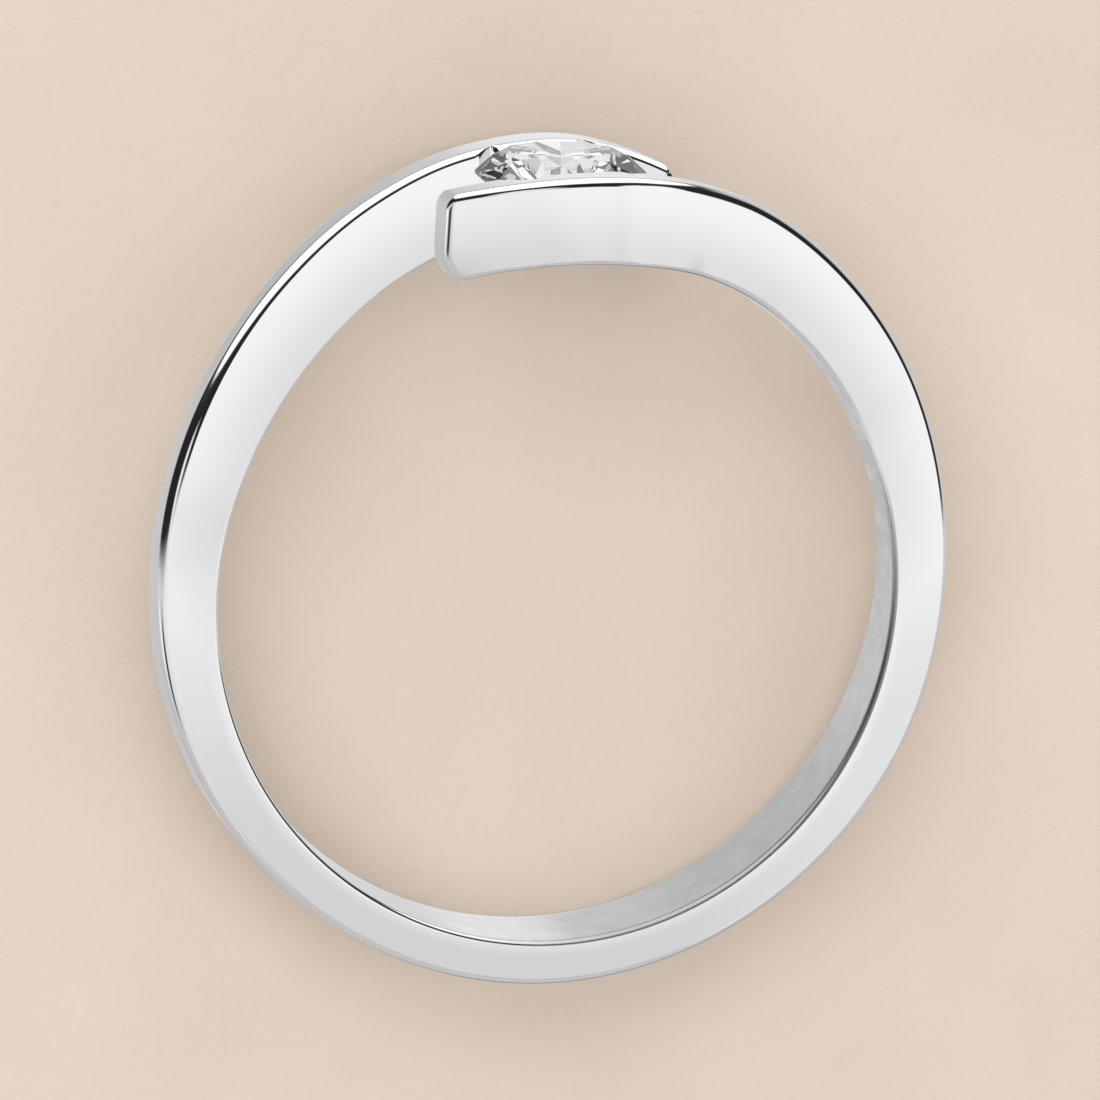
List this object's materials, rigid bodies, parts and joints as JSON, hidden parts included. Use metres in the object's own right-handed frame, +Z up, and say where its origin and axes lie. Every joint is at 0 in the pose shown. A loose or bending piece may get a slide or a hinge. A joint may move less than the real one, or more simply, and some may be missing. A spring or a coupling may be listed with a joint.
{
  "type": "solitaire ring",
  "caption": "Bypass solitaire ring: a polished white-metal band whose two ends pass each other and grip a round brilliant between their inner walls.",
  "frame": {"origin": "on the surface the ring lies on, under the middle of its bounding box", "axes": "+Z up from the surface, close to the finger hole's axis; +Y towards the stone; +X across the finger hole, so that the arm on +X passes above the stone"},
  "size_m": [0.0198, 0.0206, 0.0061],
  "materials": {
    "metal": "polished white gold",
    "gem": "clear faceted gemstone"
  },
  "bodies": {
    "root": {"band": "metal", "stone": "gem"}
  },
  "joints": []
}
